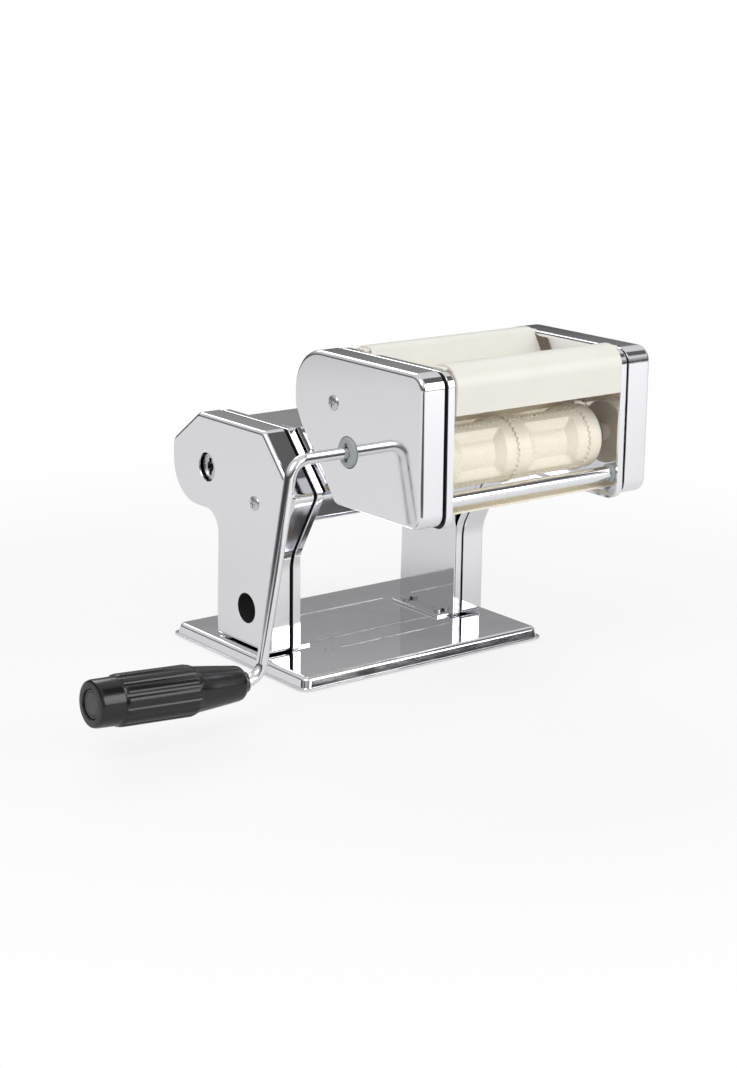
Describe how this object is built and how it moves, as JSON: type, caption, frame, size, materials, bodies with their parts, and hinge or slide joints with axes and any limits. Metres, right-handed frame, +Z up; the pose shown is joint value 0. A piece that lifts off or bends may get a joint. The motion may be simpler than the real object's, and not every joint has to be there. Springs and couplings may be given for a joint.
{
  "type": "pasta roller machine",
  "caption": "Hand-cranked pasta machine with smooth rollers, a thickness knob and a hooked-on ravioli unit with pocket rollers, hopper and cranked handle.",
  "frame": {"origin": "centre of the foot plane, midway between the side covers and midway along the base depth", "axes": "+Z up, +X to the right along the rollers (the crank is at -X), -Y to the front where the ravioli unit hangs"},
  "size_m": [0.3811, 0.2729, 0.2198],
  "materials": {
    "chrome_sheet": "polished",
    "steel": "satin",
    "chrome_rod": "polished",
    "foot_rubber": "matte",
    "grey_nylon": "satin",
    "cream_plastic": "satin",
    "hopper_plastic": "satin",
    "black_plastic": "semi-gloss"
  },
  "bodies": {
    "frame": {"base_plate": "chrome_sheet", "rubber_feet": "foot_rubber", "base_screws": "steel", "left_frame_plate": "chrome_sheet", "right_frame_plate": "chrome_sheet", "left_side_cover": "chrome_sheet", "right_side_cover": "chrome_sheet", "top_cover": "chrome_sheet", "front_panel": "chrome_sheet", "portal_arch": "chrome_sheet", "tie_rods": "steel", "cover_posts": "steel", "cover_screws": "steel", "guide_rail_left": "chrome_sheet", "guide_rail_right": "chrome_sheet", "rail_rivets": "steel", "roller_bushes": "grey_nylon", "front_scraper": "steel", "dial_plate": "chrome_sheet", "spindle_bush": "grey_nylon"},
    "drive_roller": {"drive_roller": "steel", "drive_gear": "steel"},
    "roller_carrier": {"bearing_block_left": "grey_nylon", "bearing_block_right": "grey_nylon", "carrier_bar": "steel", "rear_scraper": "steel"},
    "adjustable_roller": {"adjustable_roller": "steel", "adjustable_gear": "steel"},
    "knob_spindle": {"cam_spindle": "steel", "spindle_nut": "steel"},
    "thickness_knob": {"thickness_knob": "black_plastic", "stop_pin": "steel", "knob_spring": "steel"},
    "ravioli_unit": {"ravioli_left_cover": "chrome_sheet", "ravioli_right_cover": "chrome_sheet", "ravioli_left_plate": "chrome_sheet", "ravioli_right_plate": "chrome_sheet", "hook_bracket_left": "chrome_sheet", "hook_bracket_right": "chrome_sheet", "front_bar": "chrome_sheet", "bar_nuts": "grey_nylon", "rear_bar": "steel", "unit_scrapers": "cream_plastic", "ravioli_bushes": "grey_nylon", "unit_cover_posts": "steel", "unit_cover_screws": "steel"},
    "rear_ravioli_roller": {"rear_ravioli_roller": "cream_plastic", "rear_ravioli_gear": "cream_plastic", "crank_hub": "grey_nylon"},
    "front_ravioli_roller": {"front_ravioli_roller": "cream_plastic", "front_ravioli_gear": "cream_plastic"},
    "hopper": {"dough_hopper": "hopper_plastic"},
    "crank": {"crank_rod": "chrome_rod", "crank_drive_pin": "steel", "grip_washers": "steel"},
    "grip": {"hand_grip": "black_plastic", "grip_end_disc": "black_plastic"}
  },
  "joints": [
    {"name": "drive_spin", "type": "hinge", "parent": "frame", "child": "drive_roller", "pos_m": [0, 0.0472, 0.1213], "axis": [1, 0, 0], "continuous": true},
    {"name": "carrier_slide", "type": "slide", "parent": "frame", "child": "roller_carrier", "axis": [0, 1, 0], "range_m": [-0.00208, 0]},
    {"name": "adjust_spin", "type": "hinge", "parent": "roller_carrier", "child": "adjustable_roller", "pos_m": [0, 0.07248, 0.1213], "axis": [1, 0, 0], "continuous": true},
    {"name": "knob_turn", "type": "hinge", "parent": "frame", "child": "knob_spindle", "pos_m": [0.09, 0.07144, 0.1213], "axis": [-1, 0, 0], "range_deg": [0, 120]},
    {"name": "knob_pull", "type": "slide", "parent": "knob_spindle", "child": "thickness_knob", "axis": [1, 0, 0], "range_m": [0, 0.004], "stiffness_N_per_m": 600, "springref_m": -0.004, "deforming": ["knob_spring"]},
    {"name": "unit_lift", "type": "slide", "parent": "frame", "child": "ravioli_unit", "axis": [0, 0.6743, 0.7385], "range_m": [0, 0.05]},
    {"name": "rear_spin", "type": "hinge", "parent": "ravioli_unit", "child": "rear_ravioli_roller", "pos_m": [0, -0.1085, 0.1597], "axis": [1, 0, 0], "continuous": true},
    {"name": "front_spin", "type": "hinge", "parent": "ravioli_unit", "child": "front_ravioli_roller", "pos_m": [0, -0.1505, 0.1597], "axis": [1, 0, 0], "continuous": true},
    {"name": "hopper_lift", "type": "slide", "parent": "ravioli_unit", "child": "hopper", "axis": [0, 0, 1], "range_m": [0, 0.06]},
    {"name": "crank_pull", "type": "slide", "parent": "rear_ravioli_roller", "child": "crank", "axis": [-1, 0, 0], "range_m": [0, 0.03]},
    {"name": "grip_spin", "type": "hinge", "parent": "crank", "child": "grip", "pos_m": [-0.1545, -0.1085, 0.0286], "axis": [-0.9976, 0, 0.0698], "continuous": true}
  ],
  "couplings": [
    {"joint": "adjust_spin", "follows": "drive_spin", "ratio": -1},
    {"joint": "front_spin", "follows": "rear_spin", "ratio": -1},
    {"joint": "knob_turn", "follows": "carrier_slide", "rad_per_m": -1007.6}
  ]
}
